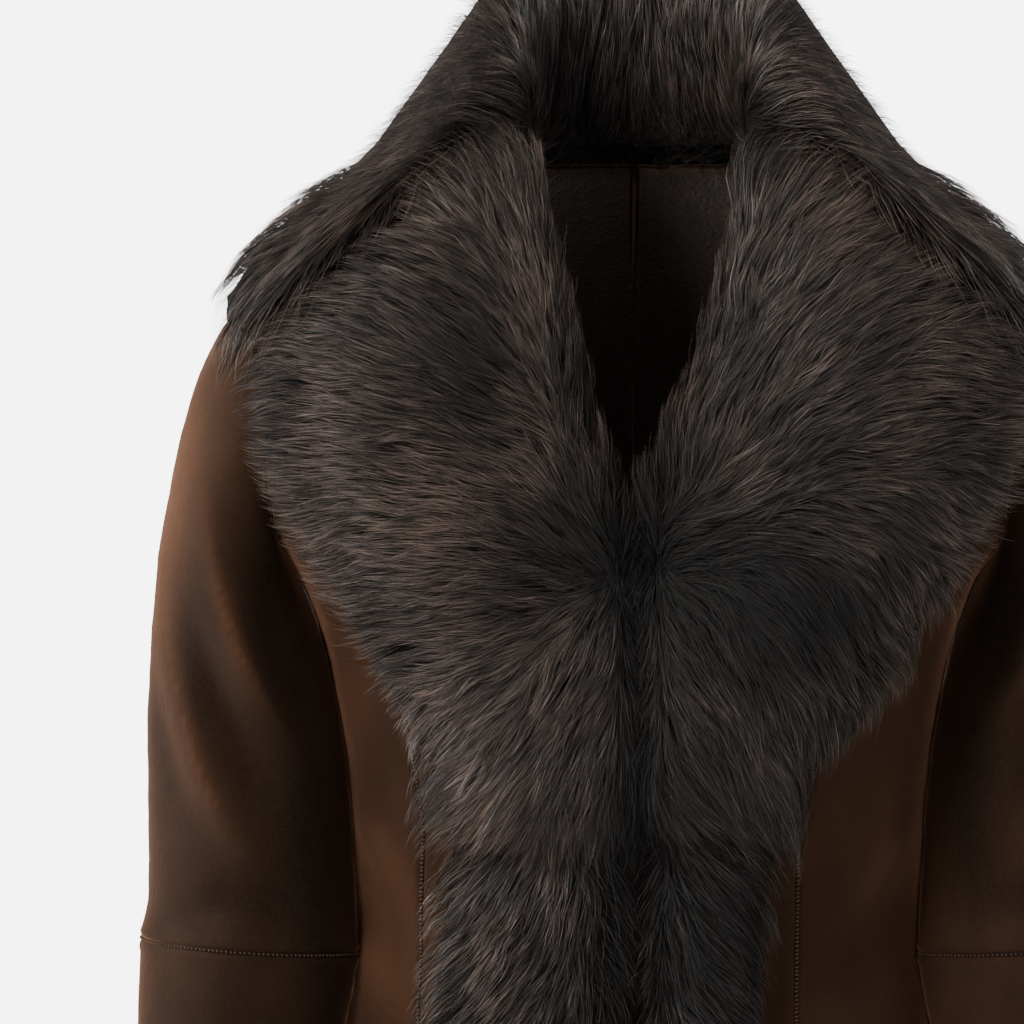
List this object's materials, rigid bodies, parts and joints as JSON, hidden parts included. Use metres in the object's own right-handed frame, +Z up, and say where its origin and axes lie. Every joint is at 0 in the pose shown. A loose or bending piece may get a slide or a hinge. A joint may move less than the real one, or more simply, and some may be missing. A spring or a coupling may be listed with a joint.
{
  "type": "shearling coat",
  "caption": "Fitted suede-out shearling coat with a long-hair fur collar, wide fur revers and fur front bands, hung as if worn, open at neck, hem and cuffs.",
  "frame": {"origin": "middle of the neck opening at the neck seam, where a wearer holds the coat up", "axes": "+Z up, the front faces -Y, +X is the wearer's left"},
  "size_m": [0.6, 0.3537, 0.9576],
  "materials": {
    "suede": "dark brown napped suede, matt, with soft light and dark strokes",
    "fur": "long near-black brown hair, soft sheen, reddish tips"
  },
  "bodies": {
    "root": {"back_right": "suede", "back_left": "suede", "front_centre_right": "suede", "front_centre_left": "suede", "front_side_right": "suede", "front_side_left": "suede", "sleeve_upper_right": "suede", "sleeve_upper_left": "suede", "sleeve_lower_right": "suede", "sleeve_lower_left": "suede", "collar": "fur", "revers_right": "fur", "revers_left": "fur", "band_right": "fur", "band_left": "fur"}
  },
  "joints": []
}
